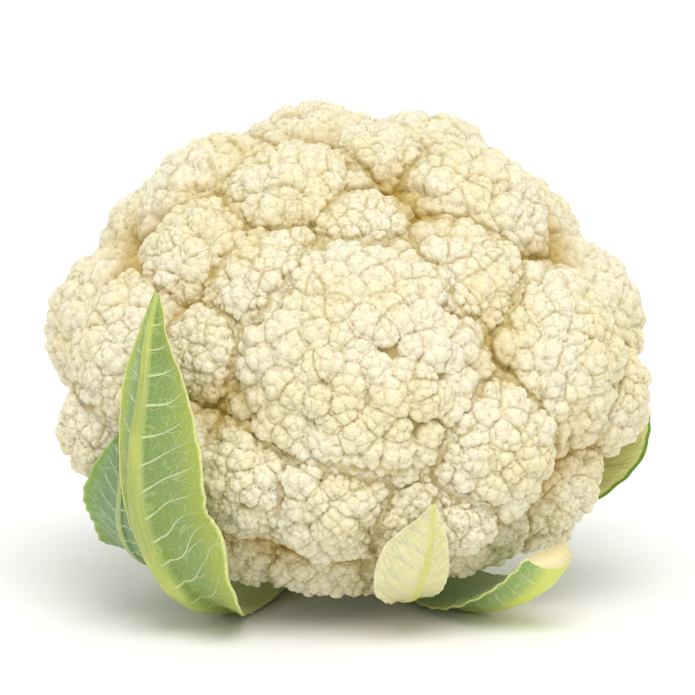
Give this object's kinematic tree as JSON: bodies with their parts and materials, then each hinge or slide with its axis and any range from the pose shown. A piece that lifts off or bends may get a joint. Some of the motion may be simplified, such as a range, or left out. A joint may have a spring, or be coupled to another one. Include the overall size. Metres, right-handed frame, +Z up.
{
  "type": "cauliflower",
  "caption": "Whole head of white cauliflower, leaning forward on its cut stem, with a curd of many florets and trimmed green leaves left round its base.",
  "frame": {"origin": "centre of the bounding box's bottom face, on the surface that the head rests on", "axes": "+X across the head to the right, +Y towards its back, +Z up; the head's front faces -Y and leans forward"},
  "size_m": [0.1817, 0.1707, 0.1457],
  "materials": {
    "curd": "raw plant tissue, matt and finely grained",
    "stem": "raw plant tissue, smooth skin with a moist cut face",
    "leaf": "fresh leaf, waxy, with raised pale veins",
    "pale_leaf": "young pale leaf, thin and slightly waxy"
  },
  "bodies": {
    "root": {"curd": "curd", "stem": "stem", "leaf_left_front": "leaf", "leaf_left_side": "leaf", "leaf_front_stub": "pale_leaf", "leaf_right_front": "leaf", "leaf_right_side": "leaf", "leaf_back_right": "leaf", "leaf_back": "leaf", "leaf_back_left": "leaf"}
  },
  "joints": []
}
